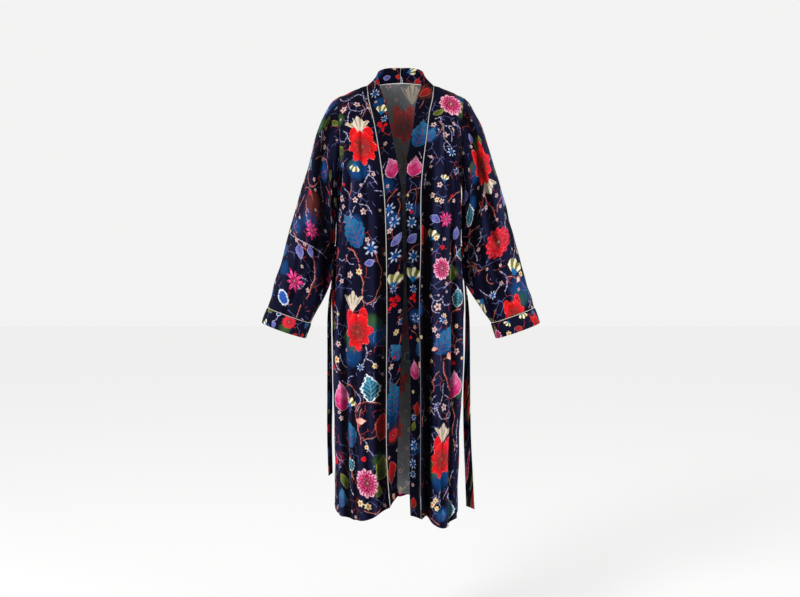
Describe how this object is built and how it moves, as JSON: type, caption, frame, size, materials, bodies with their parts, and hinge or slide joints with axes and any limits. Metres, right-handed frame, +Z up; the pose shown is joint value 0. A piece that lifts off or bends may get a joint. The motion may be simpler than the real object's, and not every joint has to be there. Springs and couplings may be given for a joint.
{
  "type": "velvet robe",
  "caption": "Long open-front velvet kimono robe with piped neckband and cuffs, straight sleeves and a belt hanging in side loops.",
  "frame": {"origin": "middle of the neck opening, level with the inner ends of the shoulder seams", "axes": "+Z up, towards the neckband. The open front faces -Y, and the wearer's left is +X"},
  "size_m": [0.7701, 0.2814, 1.2814],
  "materials": {
    "printed_velvet": "navy velvet with a dense flower print",
    "cream_piping": "satin piping"
  },
  "bodies": {
    "root": {"back_hem": "printed_velvet", "back_skirt": "printed_velvet", "back_waist": "printed_velvet", "back_chest": "printed_velvet", "front_right_skirt": "printed_velvet", "front_right_waist": "printed_velvet", "front_right_chest": "printed_velvet", "front_left_skirt": "printed_velvet", "front_left_waist": "printed_velvet", "front_left_chest": "printed_velvet", "sleeve_right_upper": "printed_velvet", "sleeve_right_elbow": "printed_velvet", "sleeve_right_lower": "printed_velvet", "sleeve_left_upper": "printed_velvet", "sleeve_left_elbow": "printed_velvet", "sleeve_left_lower": "printed_velvet", "cuff_right": "printed_velvet", "cuff_left": "printed_velvet", "neckband_right_skirt": "printed_velvet", "neckband_right_waist": "printed_velvet", "neckband_right_chest": "printed_velvet", "neckband_right_neck": "printed_velvet", "neckband_left_skirt": "printed_velvet", "neckband_left_waist": "printed_velvet", "neckband_left_chest": "printed_velvet", "neckband_left_neck": "printed_velvet", "belt": "printed_velvet", "belt_loop_right": "printed_velvet", "belt_loop_left": "printed_velvet", "band_piping_right": "cream_piping", "band_piping_left": "cream_piping", "cuff_piping_right": "cream_piping", "cuff_piping_left": "cream_piping"}
  },
  "joints": []
}
